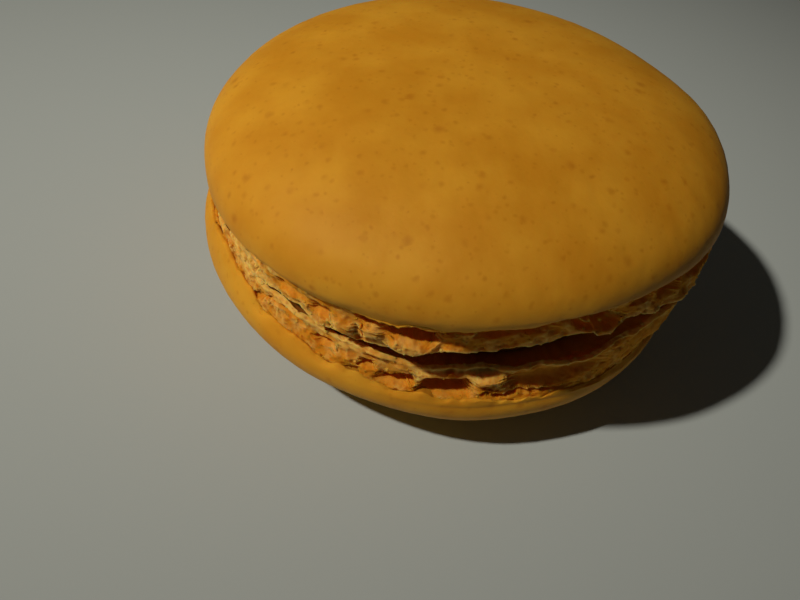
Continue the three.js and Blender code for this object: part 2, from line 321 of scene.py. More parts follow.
def height_of(shell, radius, azimuth, drop):
    """Height above the table of a point that lies drop below the shell's widest ring."""
    angle = np.radians(shell.facing * azimuth)
    level = shell.turn[2, 0] * radius * np.cos(angle) + shell.turn[2, 1] * radius * np.sin(angle)
    return shell.place[2] + level - shell.turn[2, 2] * drop


def drop_of(shell, radius, azimuth, height):
    """The opposite: how far below the widest ring a point lies, from its height above the table."""
    return (height_of(shell, radius, azimuth, 0) - height) / shell.turn[2, 2]


upper_shell = Sizes(
    name="top", size=UPPER, facing=1, turn=leaned(), place=UPPER_CENTRE, seat=0,
    hollows=UPPER_HOLLOWS, crumbs=UPPER_CRUMBS, lip_height=upper_lip_height, seed=5,
    lip_wave=ruffle(13, [(6, 0.1), (14, 0.12), (25, 0.1), (38, 0.08)]),
)
lower_shell = Sizes(
    name="bottom", size=LOWER, facing=-1, turn=turned_over(), place=np.array([0, 0, LOWER_HEIGHT]),
    seat=math.degrees(math.acos(LOWER_HEIGHT / LOWER.dome_height)),
    hollows=LOWER_HOLLOWS, crumbs=LOWER_CRUMBS, lip_height=lower_lip_height, seed=9,
    lip_wave=ruffle(17, [(5, 0.08), (12, 0.12), (23, 0.1), (37, 0.08)]),
)

# %% [markdown]
# ## The profile of the foot
#
# The foot hangs from the crust's thin edge down to the lip. Its face is nearly flush with
# the crust, except where the hollows are. Behind the lip the inside face runs to the middle.


# %% Profile of the foot
def outline(size, azimuth):
    amount, at = size.corners
    return 1 + amount / size.radius * np.cos(3 * np.radians(azimuth - at))


def tuck(size, azimuth):
    return humps(size.tucks, azimuth)


def edge_drop(size, azimuth):
    return size.edge_drop - humps(size.arches, azimuth)


def foot_spread(size, azimuth, down):
    """How far the foot stands out past its straight face, from the edge (down 0) to the lip."""
    return humps(size.flares, azimuth) * min(1, 2 * down)


def lip_drop(shell, azimuth):
    return drop_of(shell, shell.size.lip_radius, azimuth, shell.lip_height(azimuth))


def further_hollows(shell):
    """Hollows for the stretch of foot that has no named ones, some high and some low on it."""
    draw = seeded_random(shell.seed)
    hollows = []
    azimuth = REST_OF_FOOT.start + next(draw) * REST_OF_FOOT.spacing
    while azimuth < REST_OF_FOOT.end:
        edge = height_of(shell, shell.size.lip_radius, azimuth, edge_drop(shell.size, azimuth))
        lip = shell.lip_height(azimuth)
        half = 2.5 + 4 * next(draw)
        depth = REST_OF_FOOT.deepest * (0.25 + 0.75 * next(draw))
        middle = mix(edge, lip, 0.2 + 0.3 * next(draw))
        tall = abs(edge - lip) * (0.12 + 0.2 * next(draw))
        hollows.append((azimuth, half, middle, tall, depth, 0.2 * (next(draw) - 0.5)))
        azimuth += REST_OF_FOOT.spacing * (0.6 + 0.8 * next(draw))
    return hollows


for each in (upper_shell, lower_shell):
    each.hollows = each.hollows + further_hollows(each)
    print("the", each.name, "foot has", len(each.hollows), "hollows")


side_wobble = ruffle(41, [(23, 0.3), (41, 0.25), (67, 0.2), (101, 0.15)])
edge_wobble = ruffle(43, [(31, 0.06), (53, 0.05), (83, 0.05), (131, 0.04)])


def foot_relief(shell, azimuth, drop, down):
    """Depth of hollows less height of crumbs, from the crust's edge (down 0) to the lip (down 1)."""
    depth = shell.size.groove * math.sin(math.pi * down**0.6)
    height = height_of(shell, shell.size.lip_radius, azimuth, drop)
    # The wobbles fray the outlines of the hollows, as torn crumb does.
    azimuth, height = azimuth + side_wobble(azimuth + 20 * height), height + edge_wobble(azimuth)
    for at, half, middle, tall, deep, climb in shell.hollows:
        line = middle + climb * turn_between(azimuth, at)
        depth = depth + deep * patch(azimuth, at, half) * plateau(height - line, tall)
    for at, half, middle, tall, proud in shell.crumbs:
        depth = depth - proud * patch(azimuth, at, half) * plateau(height - middle, tall)
    return depth * min(1.0, down / EDGE_FADE)


def foot_ring(shell, azimuth, down):
    """Radius, drop and depth of relief round one ring of the foot's face."""
    size = shell.size
    edge = (size.edge_radius - EDGE_STEP) * outline(size, azimuth)
    moved = foot_spread(size, azimuth, down) - FOOT_TUCK * tuck(size, azimuth)
    drop = mix(edge_drop(size, azimuth), lip_drop(shell, azimuth) - LIP_THICKNESS, down)
    relief = foot_relief(shell, azimuth, drop, down)
    return mix(edge, size.lip_radius, down) + moved - relief, drop, relief


def inner_drop(shell, radius, azimuth):
    out = (radius / (shell.size.lip_radius - LIP_SHELF)) ** 2
    return mix(shell.size.inner_drop, lip_drop(shell, azimuth) - RECESS, out)


# %% [markdown]
# ## From rings to a closed mesh
#
# The feet and the filling are stacks of rings with a point at each end. Joining neighbours
# gives clean rows of four-sided faces that point outwards, and fans close both ends.


# %% Closed meshes from rings
def faces_of_rings(rows, across):
    """Faces for rows of points, from the top middle outwards and round to the bottom middle."""
    first = 1 + np.arange(rows)[:, None] * across
    here = first + np.arange(across)
    beside = first + (np.arange(across) + 1) % across
    quads = np.stack([here[:-1], here[1:], beside[1:], beside[:-1]], axis=-1).reshape(-1, 4)
    top = np.stack([np.zeros(across, int), here[0], beside[0]], axis=-1)
    last = np.full(across, 1 + rows * across)
    bottom = np.stack([last, beside[-1], here[-1]], axis=-1)
    return top.tolist() + quads.tolist() + bottom.tolist()


def new_piece(name, mesh):
    made = bpy.data.objects.new(name, mesh)
    bpy.context.scene.collection.objects.link(made)
    return made


def body_from_rings(name, rings, top, bottom, angles, marks):
    """A mesh in metres from rings of (radius, height), with a float attribute for each mark."""
    points = [np.array([[0, 0, top]])]
    for radius, height in rings:
        ring = [radius * np.cos(np.radians(angles)), radius * np.sin(np.radians(angles)), height]
        points.append(np.stack(ring, axis=-1))
    points.append(np.array([[0, 0, bottom]]))
    mesh = bpy.data.meshes.new(name)
    vertices = np.concatenate(points) * MM
    mesh.from_pydata(vertices.tolist(), [], faces_of_rings(len(rings), len(angles)))
    for mark, rows in marks.items():
        values = np.concatenate([rows[0][:1], *rows, rows[-1][:1]]).astype(np.float32)
        mesh.attributes.new(mark, "FLOAT", "POINT").data.foreach_set("value", values)
    return new_piece(name, mesh)


def put_in_place(piece, turn, place):
    """Moves the mesh, not the object, from the shell's own frame to the macaron's."""
    matrix = Matrix(turn.tolist()).to_4x4()
    matrix.translation = Vector(place) * MM + Vector(AXIS)
    piece.data.transform(matrix)


# %% [markdown]
# ## The foot
#
# The foot is the crumb that rose under the skin and dried there: open, torn and ruffled.
# The mark `crumb` says how coarse the surface is, and `hollow` how deep a point lies: the crumb
# inside a hollow is given a deeper orange, partly moist crumb and partly painted shade of light
# bounced round the recess. A third mark pales the colour: partly crumb that dried, and partly
# painted light, paler near the lip, on whatever stands proud and on the side towards the key
# light. Behind the lip `hollow` is at least 1, and above 1 it marks painted shade, dark brown
# where the seam is pressed shut.

# %% Foot bodies
FOOT_ACROSS = 1240
FACE_ROWS = 56
LIP_ROWS = 8
SHELF_ROWS = 9
LIP_BEAD = 0.18
LIP_BLEND_FROM, LIP_BLEND_OVER = 0.82, 0.18  # share of the face where it bends to the lip
CORE_RADIUS, CORE_HEIGHT = 18, -0.5  # the foot's top, hidden under the crust
HIDDEN_INSET, HIDDEN_RISE = 0.1, 0.3  # the ring just above the crust's edge, also hidden
HOLLOW_FROM, HOLLOW_OVER = 0.2, 0.7  # depth where the hollow's colour starts, and its span
DRY_AND_LIT_AT_LIP, DRY_AND_LIT_IF_PROUD, DRY_AND_LIT_LESS = 0.45, 0.4, 0.25  # two gains of the paling mark, at the lip and where crumb stands proud, partly dried crumb and partly painted light, and its loss
INNER_RING = 0.55  # share of the lip's radius
PAINTED_LIT_SIDE = (-135, 25)  # azimuth and width of the side painted palest, the side towards the key light: painted light
PAINTED_LIT_SIDE_BY = 0.5


def foot_rings(shell, azimuth):
    """Rings of the foot, each as radius, height, and the marks crumb, hollow and dry."""
    size = shell.size
    even = np.ones_like(azimuth)
    rings = [(CORE_RADIUS * even, CORE_HEIGHT * even, 0 * even, 0 * even, 0 * even)]
    top_radius, top_drop, _ = foot_ring(shell, azimuth, 0.0)
    rings.append((top_radius - HIDDEN_INSET, HIDDEN_RISE - top_drop, 0 * even, 0 * even, 0 * even))
    lip = size.lip_radius - FOOT_TUCK * tuck(size, azimuth)
    lip = lip + foot_spread(size, azimuth, 1) + shell.lip_wave(azimuth)
    for down in np.linspace(0, 1, FACE_ROWS):
        radius, drop, relief = foot_ring(shell, azimuth, down)
        # The depth also sets a painted colour: a deeper orange in hollows, partly moist crumb and partly
        # painted shade of light bounced round the recess.
        deep = np.clip((relief - HOLLOW_FROM) / HOLLOW_OVER, 0, 1)
        near_lip = max(0.0, (down - LIP_BLEND_FROM) / LIP_BLEND_OVER) ** 2
        radius = mix(radius, lip, near_lip)
        # Painted light: the side that faces the key light is painted paler.
        side = PAINTED_LIT_SIDE_BY * swell(azimuth, *PAINTED_LIT_SIDE)
        proud = np.clip(-relief, 0, DRY_AND_LIT_IF_PROUD)
        # Paler where crumb dried, and painted light: paler at the lip and on proud crumb, where the key
        # light falls.
        dry_and_lit = np.clip(side + DRY_AND_LIT_AT_LIP * down + proud - deep - DRY_AND_LIT_LESS, 0, 1)
        rings.append((radius, -drop, mix(1.0, 0.4, deep), deep * (1 - near_lip), dry_and_lit))
    drop = lip_drop(shell, azimuth)
    for turn in np.linspace(0, math.pi, LIP_ROWS + 1)[1:]:
        inward = 0.4 * LIP_THICKNESS * (1 - math.cos(turn)) - LIP_BEAD * math.sin(turn)
        below = drop - LIP_THICKNESS * (1 - math.sin(turn / 2) ** 0.7)
        # The lip rows are painted pale too: partly dried crumb, partly painted light on the lit lip.
        rings.append((lip - inward, -below, 0.9 * even, 0 * even, 0.9 * even))
    shelf = size.lip_radius - LIP_SHELF
    pressed = np.clip(1 - 2 * gape(azimuth), 0, 1)
    for share in np.linspace(0, 1, SHELF_ROWS + 1)[1:]:
        radius = mix(lip - 0.8 * LIP_THICKNESS, shelf, share)
        height = mix(drop, inner_drop(shell, shelf, azimuth), share**0.8)
        # Above 1 the hollow mark paints shade: behind the lip the crumb turns dark brown where the seam is
        # pressed shut.
        rings.append((radius, -height, mix(0.8, 0.5, share) * even, 1 + pressed, 0 * even))
    inner = INNER_RING * size.lip_radius
    rings.append((inner * even, -inner_drop(shell, inner, azimuth), 0 * even, even, 0 * even))
    return rings


def make_foot(shell):
    angles = np.arange(FOOT_ACROSS) * 360 / FOOT_ACROSS
    rings = foot_rings(shell, shell.facing * angles)
    profile = [ring[:2] for ring in rings]
    marks = {mark: [ring[i] for ring in rings] for i, mark in ((2, "crumb"), (3, "hollow"), (4, "dry_and_lit"))}
    return body_from_rings("foot_" + shell.name, profile, CORE_HEIGHT, -shell.size.inner_drop, angles, marks)


feet = [make_foot(upper_shell), make_foot(lower_shell)]
for foot in feet:
    print(foot.name, "has", len(foot.data.polygons), "faces")

# %% [markdown]
# ## The filling
#
# A spoonful of ganache pressed flat: it follows both inside faces and bulges a little at
# its rim, which stops short of the lips.

# %% Filling body
FILLING_ACROSS = 480
RIM_ROWS = 14
INNER_RADII = (6, 12, 16)
filling_edge = ruffle(29, [(3, 0.25), (7, 0.2), (12, 0.15)])


def inside_face(shell, radius, azimuth):
    """Height above the table of a shell's inside face."""
    return height_of(shell, radius, azimuth, inner_drop(shell, radius, azimuth))


def make_filling():
    azimuth = np.arange(FILLING_ACROSS) * 360 / FILLING_ACROSS
    rim = FILLING_RADIUS + filling_edge(azimuth)
    even = np.ones_like(azimuth)
    high = inside_face(upper_shell, rim, azimuth) - 0.5 * CLEARANCE
    low = inside_face(lower_shell, rim, azimuth) + 0.5 * CLEARANCE
    rings = [(r * even, inside_face(upper_shell, r, azimuth) - 0.5 * CLEARANCE) for r in INNER_RADII]
    for turn in np.linspace(0, math.pi, RIM_ROWS):
        radius = rim - FILLING_BULGE * (1 - math.sin(turn))
        rings.append((radius, mix(high, low, (1 - math.cos(turn)) / 2)))
    for radius in reversed(INNER_RADII):
        rings.append((radius * even, inside_face(lower_shell, radius, azimuth) + 0.5 * CLEARANCE))
    top = rings[0][1].mean()
    bottom = rings[-1][1].mean()
    return body_from_rings("ganache", rings, top, bottom, azimuth, {})


ganache = make_filling()
print("the ganache has", len(ganache.data.polygons), "faces")

# %% [markdown]
# ## One way to add nodes
#
# Materials and Geometry Nodes are both trees, so one small function adds a node to either,
# with its settings and with the values or outputs that feed it, and gives back its outputs.
# Colours are written as the familiar sRGB hex values and turned to linear here.


# %% Node and colour helpers
def add(tree, kind, feeds=None, **settings):
    made = tree.nodes.new(kind)
    for name, value in settings.items():
        setattr(made, name, value)
    for name, value in (feeds or {}).items():
        if isinstance(value, bpy.types.NodeSocket):
            tree.links.new(value, made.inputs[name])
        else:
            made.inputs[name].default_value = value
    return made.outputs


def linear(hex_colour):
    parts = [int(hex_colour[i : i + 2], 16) / 255 for i in (1, 3, 5)]
    return tuple(c / 12.92 if c <= 0.04045 else ((c + 0.055) / 1.055) ** 2.4 for c in parts) + (1.0,)


# %% Start, end and run a Geometry Nodes tree
SOCKET_KINDS = {float: "NodeSocketFloat", int: "NodeSocketInt"}


def new_tree(name, sizes):
    """A Geometry Nodes tree with a geometry, a named input for each of sizes, and a material."""
    tree = bpy.data.node_groups.new(name, "GeometryNodeTree")
    face = tree.interface
    face.new_socket("Geometry", in_out="OUTPUT", socket_type="NodeSocketGeometry")
    face.new_socket("Geometry", in_out="INPUT", socket_type="NodeSocketGeometry")
    for label, value in sizes.items():
        face.new_socket(label, in_out="INPUT", socket_type=SOCKET_KINDS[type(value)]).default_value = value
    face.new_socket("Material", in_out="INPUT", socket_type="NodeSocketMaterial")
    return tree, add(tree, "NodeGroupInput")


def end_tree(tree, geometry, material):
    whole = add(tree, "GeometryNodeRealizeInstances", {"Geometry": geometry})[0]
    painted = add(tree, "GeometryNodeSetMaterial", {"Geometry": whole, "Material": material})[0]
    add(tree, "NodeGroupOutput", {"Geometry": painted})


def run_tree(piece, tree, inputs):
    """Runs a tree on a piece with its inputs set, and gives back the result as a plain mesh."""
    modifier = piece.modifiers.new(tree.name, "NODES")
    modifier.node_group = tree
    for item in tree.interface.items_tree:
        if item.in_out == "INPUT" and item.name in inputs:
            modifier[item.identifier] = inputs[item.name]
    view = bpy.context.evaluated_depsgraph_get()
    plain = bpy.data.meshes.new_from_object(piece.evaluated_get(view))
    piece.modifiers.remove(modifier)
    plain.shade_smooth()
    print(tree.name, "on", piece.name, "gives", len(plain.polygons), "faces")
    return plain


# %% [markdown]
# ## The crust, turned on a lathe
#
# The crust is a skin: it covers the dome, rolls under at the rim and stops in a thin torn
# edge. It is a turned form, so a lathe in Geometry Nodes makes it. The tree lays out a flat
# grid with a row for each point of a profile, bends it round the axis, and welds the seam
# and the poles. The mark `edge` on the profile says how near a point is to the torn edge,
# which arches over the gape, `free` how freely the skin may swell, and `rim` how far a tuck
# reaches up the dome.

# %% Profile of the crust
DOME_ROWS = 60
ROLL_ROWS = 18
CURL_ROWS = 6
ROLL_POWER = 2.2  # how late the roll turns inwards
SEAT_FADE = 8  # degrees from the flat spot to free skin
UNDERSIDE = Sizes(inset=3, share=0.4, middle=0.3)  # the closing rings, hidden under the skin


def crust_profile(shell):
    """Points of the profile as radius, height, edge mark, free mark and rim mark."""
    size = shell.size
    on_seat = 0 if shell.seat else 1
    points = [(0, size.dome_height * math.cos(math.radians(shell.seat)), 0, on_seat, 0)]
    for turn in np.linspace(shell.seat or 90 / DOME_ROWS, 90, DOME_ROWS):
        across = math.sin(math.radians(turn)) ** (2 / size.dome_power)
        height = size.dome_height * math.cos(math.radians(turn))
        free = min(1, on_seat + (turn - shell.seat) / SEAT_FADE)
        points.append((size.radius * across, height, 0, free, (turn / 90) ** TUCK_POWER))
    for down in np.linspace(0, 1, ROLL_ROWS + 1)[1:]:
        radius = mix(size.radius, size.edge_radius, down**ROLL_POWER)
        points.append((radius, -size.edge_drop * down, down, 1, mix(1, FOOT_TUCK, down**ROLL_POWER)))
    for turn in np.linspace(0, math.pi, CURL_ROWS + 1)[1:]:
        inward = 0.5 * SKIN * (1 - math.cos(turn))
        below = size.edge_drop + 0.3 * SKIN * math.sin(turn)
        points.append((size.edge_radius - inward, -below, 1, 1, FOOT_TUCK))
    points.append((size.edge_radius - UNDERSIDE.inset, -UNDERSIDE.share * size.edge_drop, 0, 0, 0))
    points.append((0, -UNDERSIDE.middle, 0, 0, 0))
    return points


def profile_line(shell):
    """The profile as a mesh of edges, with its marks as attributes."""
    points = crust_profile(shell)
    line = bpy.data.meshes.new("profile")
    places = [(point[0] * MM, 0, point[1] * MM) for point in points]
    line.from_pydata(places, [(i, i + 1) for i in range(len(points) - 1)], [])
    for mark, column in (("edge", 2), ("free", 3), ("rim", 4)):
        values = [float(point[column]) for point in points]
        line.attributes.new(mark, "FLOAT", "POINT").data.foreach_set("value", values)
    return new_piece("crust_" + shell.name, line)


# %% Lathe tree
MATH = "ShaderNodeMath"
VECTOR = "ShaderNodeVectorMath"
NOISE = "ShaderNodeTexNoise"
NAMED = "GeometryNodeInputNamedAttribute"
STORE = "GeometryNodeStoreNamedAttribute"
SAMPLE = "GeometryNodeSampleIndex"


def hump_of(tree, angle, given, name):
    """A soft hump as high as the input of that name says, at its azimuth and with its width."""
    off = add(tree, MATH, {0: angle, 1: given[name + " at"]}, operation="SUBTRACT")[0]
    wrapped = add(tree, MATH, {0: off, 1: -math.pi, 2: math.pi}, operation="WRAP")[0]
    share = add(tree, MATH, {0: wrapped, 1: given[name + " width"]}, operation="DIVIDE")[0]
    square = add(tree, MATH, {0: share, 1: share}, operation="MULTIPLY")[0]
    fall = add(tree, MATH, {0: square, 1: -0.5}, operation="MULTIPLY")[0]
    hump = add(tree, MATH, {0: fall}, operation="EXPONENT")[0]
    return add(tree, MATH, {0: hump, 1: given[name]}, operation="MULTIPLY")[0]


def lathe_tree(arches):
    """Turns a profile of edges in the XZ plane into a closed body, bent by three faint corners."""
    sizes = {"Steps": 900, "Corner size": 0.0, "Corner at": 0.0}
    for name in (*arches, "Tuck"):
        sizes.update({name: 0.0, name + " at": 0.0, name + " width": 1.0})
    tree, given = new_tree("lathe", sizes)
    rows = add(tree, "GeometryNodeAttributeDomainSize", {"Geometry": given["Geometry"]})["Point Count"]
    columns = add(tree, MATH, {0: given["Steps"], 1: 1}, operation="ADD")[0]
    grid = {"Size X": 1.0, "Size Y": 1.0, "Vertices X": columns, "Vertices Y": rows}
    sheet = add(tree, "GeometryNodeMeshGrid", grid)["Mesh"]
    place = add(tree, "GeometryNodeInputPosition")[0]
    flat = add(tree, "ShaderNodeSeparateXYZ", {0: place})
    angle = add(tree, MATH, {0: flat["X"], 1: -2 * math.pi}, operation="MULTIPLY")[0]
    last = add(tree, MATH, {0: rows, 1: 1}, operation="SUBTRACT")[0]
    along = add(tree, MATH, {0: flat["Y"], 1: 0.5}, operation="ADD")[0]
    exact = add(tree, MATH, {0: along, 1: last}, operation="MULTIPLY")[0]
    row = add(tree, MATH, {0: exact}, operation="ROUND")[0]

    sample = {"Geometry": given["Geometry"], "Index": row}
    point = add(tree, SAMPLE, {**sample, "Value": place}, data_type="FLOAT_VECTOR")[0]
    for mark in ("edge", "free", "rim"):
        named = add(tree, NAMED, {"Name": mark}, data_type="FLOAT")[0]
        value = add(tree, SAMPLE, {**sample, "Value": named}, data_type="FLOAT")[0]
        stored = {"Geometry": sheet, "Name": mark, "Value": value}
        sheet = add(tree, STORE, stored, data_type="FLOAT", domain="POINT")[0]

    # Three corners: the radius follows the cosine of three times the azimuth.
    off_corner = add(tree, MATH, {0: angle, 1: given["Corner at"]}, operation="SUBTRACT")[0]
    thrice = add(tree, MATH, {0: off_corner, 1: 3.0}, operation="MULTIPLY")[0]
    wave = add(tree, MATH, {0: thrice}, operation="COSINE")[0]
    wider = add(tree, MATH, {0: wave, 1: given["Corner size"], 2: 1.0}, operation="MULTIPLY_ADD")[0]
    # The edge rises or dips at the azimuth of each arch, and the rim is drawn in at the tuck.
    lift = 0.0
    for arch in arches:
        lift = add(tree, MATH, {0: hump_of(tree, angle, given, arch), 1: lift}, operation="ADD")[0]
    edge = add(tree, NAMED, {"Name": "edge"}, data_type="FLOAT")[0]
    rim = add(tree, NAMED, {"Name": "rim"}, data_type="FLOAT")[0]
    tucked = hump_of(tree, angle, given, "Tuck")
    drawn_in = add(tree, MATH, {0: tucked, 1: rim}, operation="MULTIPLY")[0]

    parts = add(tree, "ShaderNodeSeparateXYZ", {0: point})
    wide = add(tree, MATH, {0: parts["X"], 1: wider}, operation="MULTIPLY")[0]
    radius = add(tree, MATH, {0: wide, 1: drawn_in}, operation="SUBTRACT")[0]
    height = add(tree, MATH, {0: lift, 1: edge, 2: parts["Z"]}, operation="MULTIPLY_ADD")[0]
    bent = add(tree, "ShaderNodeCombineXYZ", {"X": radius, "Z": height})[0]
    turning = {"Vector": bent, "Angle": angle}
    turned = add(tree, "ShaderNodeVectorRotate", turning, rotation_type="Z_AXIS")[0]
    body = add(tree, "GeometryNodeSetPosition", {"Geometry": sheet, "Position": turned})[0]
    welded = add(tree, "GeometryNodeMergeByDistance", {"Geometry": body, "Distance": 0.001 * MM})[0]
    end_tree(tree, welded, given["Material"])
    return tree


# %% Turn both crusts
ARCHES = ("Arch 1", "Arch 2", "Arch 3")
lathe = lathe_tree(ARCHES)
print("the lathe tree has", len(lathe.nodes), "nodes")
crusts = []
for shell in (upper_shell, lower_shell):
    corner_size, corner_at = shell.size.corners
    inputs = {
        "Corner size": corner_size / shell.size.radius,
        "Corner at": math.radians(shell.facing * corner_at),
    }
    for name, (by, at, wide) in zip((*ARCHES, "Tuck"), shell.size.arches + shell.size.tucks):
        inputs[name] = by * MM
        inputs[name + " at"] = math.radians(shell.facing * at)
        inputs[name + " width"] = math.radians(wide)
    crust = profile_line(shell)
    crust.data = run_tree(crust, lathe, inputs)
    crusts.append(crust)

# %% [markdown]
# ## Relief by Geometry Nodes
#
# Fine relief follows a rule too. On the crust it is slow swells, faint dimples like an
# eggshell's, and a frayed edge. On the foot it is froth: soft lumps, round bubbles that
# burst open as the batter rose, smaller pores, and grit. Each tree pushes the points along
# their normals by the sum of those, as strongly as the marks say.


# %% Relief of the crust
def crust_relief_tree():
    sizes = {
        "Swell size": 11 * MM, "Swell height": 0.3 * MM,
        "Dimple size": 1.6 * MM, "Dimple height": 0.03 * MM,
        "Tear size": 2.2 * MM, "Tear height": 0.5 * MM,
        "Fray size": 0.5 * MM, "Fray height": 0.22 * MM,
        "Sink": 0.08 * MM, "Seed": 1.0,
    }
    tree, given = new_tree("crust relief", sizes)
    place = add(tree, "GeometryNodeInputPosition")[0]
    waves = {}
    for label, detail in (("Swell", 0.0), ("Dimple", 1.0), ("Tear", 1.0), ("Fray", 2.0)):
        scale = add(tree, MATH, {0: 1.0, 1: given[label + " size"]}, operation="DIVIDE")[0]
        feeds = {"Vector": place, "W": given["Seed"], "Scale": scale, "Detail": detail}
        wave = add(tree, NOISE, feeds, noise_dimensions="4D", normalize=False)[0]
        waves[label] = add(tree, MATH, {0: wave, 1: given[label + " height"]}, operation="MULTIPLY")[0]
    free = add(tree, NAMED, {"Name": "free"}, data_type="FLOAT")[0]
    edge = add(tree, NAMED, {"Name": "edge"}, data_type="FLOAT")[0]
    lower_half = add(tree, MATH, {0: edge, 1: 2.0}, operation="POWER")[0]
    near_edge = add(tree, MATH, {0: edge, 1: 5.0}, operation="POWER")[0]
    skin = add(tree, MATH, {0: waves["Swell"], 1: waves["Dimple"]}, operation="ADD")[0]
    skin = add(tree, MATH, {0: skin, 1: given["Sink"]}, operation="SUBTRACT")[0]
    skin = add(tree, MATH, {0: skin, 1: free}, operation="MULTIPLY")[0]
    frayed = add(tree, MATH, {0: waves["Fray"], 1: near_edge}, operation="MULTIPLY")[0]
    torn = add(tree, MATH, {0: waves["Tear"], 1: lower_half, 2: frayed}, operation="MULTIPLY_ADD")[0]
    along = add(tree, MATH, {0: frayed, 1: 0.5, 2: skin}, operation="MULTIPLY_ADD")[0]
    normal = add(tree, "GeometryNodeInputNormal")[0]
    push = add(tree, VECTOR, {"Vector": normal, "Scale": along}, operation="SCALE")[0]
    ragged = add(tree, "ShaderNodeCombineXYZ", {"Z": torn})[0]
    both = add(tree, VECTOR, {0: push, 1: ragged}, operation="ADD")[0]
    moved = add(tree, "GeometryNodeSetPosition", {"Geometry": given["Geometry"], "Offset": both})[0]
    end_tree(tree, moved, given["Material"])
    return tree


# %% Relief of the foot
def foot_relief_tree():
    sizes = {
        "Lump size": 1.3 * MM, "Lump height": 0.2 * MM,
        "Grit size": 0.3 * MM, "Grit height": 0.035 * MM,
        "Bubble size": 0.9 * MM, "Bubble depth": 0.14 * MM,
        "Pore size": 0.36 * MM, "Pore depth": 0.05 * MM,
        "Sink": 0.12 * MM, "Seed": 1.0,
    }
    tree, given = new_tree("foot relief", sizes)
    place = add(tree, "GeometryNodeInputPosition")[0]
    raised = 0.0
    for label, detail in (("Lump", 2.0), ("Grit", 1.0)):
        scale = add(tree, MATH, {0: 1.0, 1: given[label + " size"]}, operation="DIVIDE")[0]
        feeds = {"Vector": place, "W": given["Seed"], "Scale": scale, "Detail": detail}
        wave = add(tree, NOISE, feeds, noise_dimensions="4D", normalize=False)[0]
        lump = {0: wave, 1: given[label + " height"], 2: raised}
        raised = add(tree, MATH, lump, operation="MULTIPLY_ADD")[0]
    pit = 0.0
    for label in ("Bubble", "Pore"):
        # A burst bubble is the part of a ball below the surface: sharp at its rim, round within.
        scale = add(tree, MATH, {0: 1.0, 1: given[label + " size"]}, operation="DIVIDE")[0]
        feeds = {"Vector": place, "W": given["Seed"], "Scale": scale}
        cells = add(tree, "ShaderNodeTexVoronoi", feeds, voronoi_dimensions="4D")
        drawn = add(tree, "FunctionNodeSeparateColor", {"Color": cells["Color"]})[0]
        reach = add(tree, MATH, {0: drawn, 1: 0.4, 2: 0.2}, operation="MULTIPLY_ADD")[0]
        share = add(tree, MATH, {0: cells["Distance"], 1: reach}, operation="DIVIDE")[0]
        square = add(tree, MATH, {0: share, 1: share}, operation="MULTIPLY")[0]
        inside = add(tree, MATH, {0: 1.0, 1: square}, operation="SUBTRACT", use_clamp=True)[0]
        ball = add(tree, MATH, {0: inside, 1: 0.5}, operation="POWER")[0]
        sized = add(tree, MATH, {0: ball, 1: reach}, operation="MULTIPLY")[0]
        depth = add(tree, MATH, {0: given[label + " depth"], 1: -2.0}, operation="MULTIPLY")[0]
        raised = add(tree, MATH, {0: sized, 1: depth, 2: raised}, operation="MULTIPLY_ADD")[0]
        pit = add(tree, MATH, {0: ball, 1: pit}, operation="MAXIMUM")[0]
    crumb = add(tree, NAMED, {"Name": "crumb"}, data_type="FLOAT")[0]
    pit = add(tree, MATH, {0: pit, 1: crumb}, operation="MULTIPLY")[0]
    stored = {"Geometry": given["Geometry"], "Name": "pit", "Value": pit}
    marked = add(tree, STORE, stored, data_type="FLOAT", domain="POINT")[0]
    raised = add(tree, MATH, {0: raised, 1: given["Sink"]}, operation="SUBTRACT")[0]
    raised = add(tree, MATH, {0: raised, 1: crumb}, operation="MULTIPLY")[0]
    normal = add(tree, "GeometryNodeInputNormal")[0]
    push = add(tree, VECTOR, {"Vector": normal, "Scale": raised}, operation="SCALE")[0]
    moved = add(tree, "GeometryNodeSetPosition", {"Geometry": marked, "Offset": push})[0]
    end_tree(tree, moved, given["Material"])
    return tree


# %% [markdown]
# ## Loose crumbs
#
# Broken froth leaves grains that cling to the feet. The tree strews small lumps over the
# open crumb, none in the hollows, most of them fine and a few coarse, and dents each one.


# %% Tree that strews crumbs
RANDOM = "FunctionNodeRandomValue"


